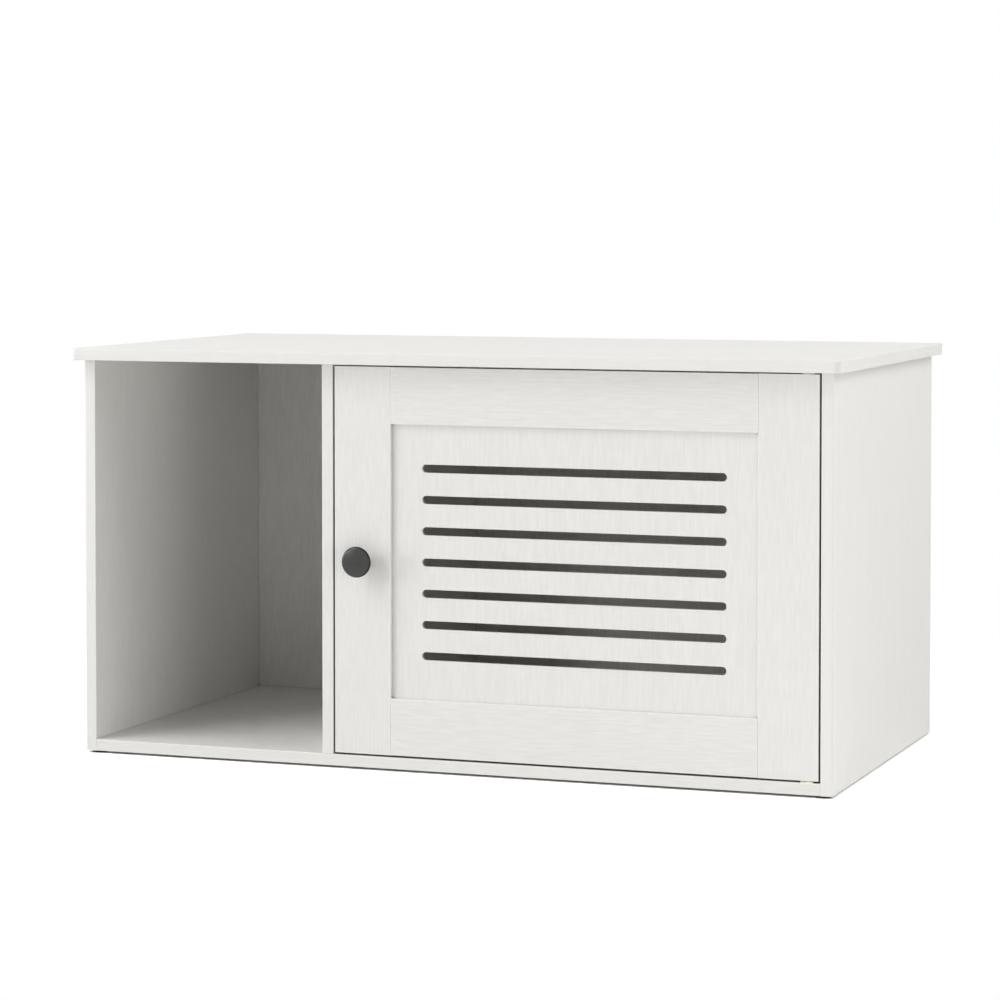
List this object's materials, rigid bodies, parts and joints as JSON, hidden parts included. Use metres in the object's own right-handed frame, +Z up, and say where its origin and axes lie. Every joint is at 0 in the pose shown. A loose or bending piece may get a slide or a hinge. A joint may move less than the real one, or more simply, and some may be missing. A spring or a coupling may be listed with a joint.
{
  "type": "cat litter box cabinet",
  "caption": "Low flat-pack cabinet with an open bay, an arched cat entrance through the divider and a closed litter bay behind a framed, slotted door on pivot hinges.",
  "frame": {"origin": "on the floor under the middle of the whole cabinet's bounding box, with the door closed", "axes": "+X to the right as seen from the front, +Y to the rear, +Z up"},
  "size_m": [1.026, 0.5684, 0.528],
  "materials": {
    "white_laminate": "warm white wood-grain foil on board, fine embossed grain, satin",
    "plated_steel": "nickel-plated steel and zinc, satin",
    "knob_lacquer": "dark grey satin lacquer",
    "black_rubber": "matte black",
    "catch_plastic": "moulded white",
    "ferrite": "dull dark grey ferrite",
    "beech": "raw beech"
  },
  "bodies": {
    "case": {"back_panel": "white_laminate", "bottom_hinge_plate": "plated_steel", "bottom_hinge_screw_1": "plated_steel", "bottom_hinge_screw_2": "plated_steel", "bottom_panel": "white_laminate", "cam_bolt_bottom_left_front": "plated_steel", "cam_bolt_bottom_left_rear": "plated_steel", "cam_bolt_bottom_right_front": "plated_steel", "cam_bolt_bottom_right_rear": "plated_steel", "cam_bolt_top_left_front": "plated_steel", "cam_bolt_top_left_rear": "plated_steel", "cam_bolt_top_right_front": "plated_steel", "cam_bolt_top_right_rear": "plated_steel", "cam_bottom_left_front": "plated_steel", "cam_bottom_left_rear": "plated_steel", "cam_bottom_right_front": "plated_steel", "cam_bottom_right_rear": "plated_steel", "cam_top_left_front": "plated_steel", "cam_top_left_rear": "plated_steel", "cam_top_right_front": "plated_steel", "cam_top_right_rear": "plated_steel", "catch_housing": "catch_plastic", "catch_magnet": "ferrite", "catch_pole_plate_left": "plated_steel", "catch_pole_plate_right": "plated_steel", "catch_screw_lower": "plated_steel", "catch_screw_upper": "plated_steel", "divider_panel": "white_laminate", "divider_screw_front": "plated_steel", "divider_screw_rear": "plated_steel", "dowel_bottom_left": "beech", "dowel_bottom_right": "beech", "dowel_divider_front": "beech", "dowel_divider_rear": "beech", "dowel_top_left": "beech", "dowel_top_right": "beech", "foot_pad_front_left": "black_rubber", "foot_pad_front_right": "black_rubber", "foot_pad_rear_left": "black_rubber", "foot_pad_rear_right": "black_rubber", "left_side_panel": "white_laminate", "right_side_panel": "white_laminate", "top_hinge_plate": "plated_steel", "top_hinge_screw_1": "plated_steel", "top_hinge_screw_2": "plated_steel", "top_panel": "white_laminate"},
    "door": {"bottom_hinge_pin": "plated_steel", "door_bottom_rail": "white_laminate", "door_knob": "knob_lacquer", "door_left_stile": "white_laminate", "door_right_stile": "white_laminate", "door_slotted_panel": "white_laminate", "door_top_rail": "white_laminate", "knob_screw": "plated_steel", "strike_plate": "plated_steel", "strike_screw": "plated_steel", "top_hinge_pin": "plated_steel"}
  },
  "joints": [
    {"name": "door_hinge", "type": "hinge", "parent": "case", "child": "door", "pos_m": [0.4678, -0.25175, 0.2655], "axis": [0, 0, 1], "range_deg": [0, 130]}
  ]
}
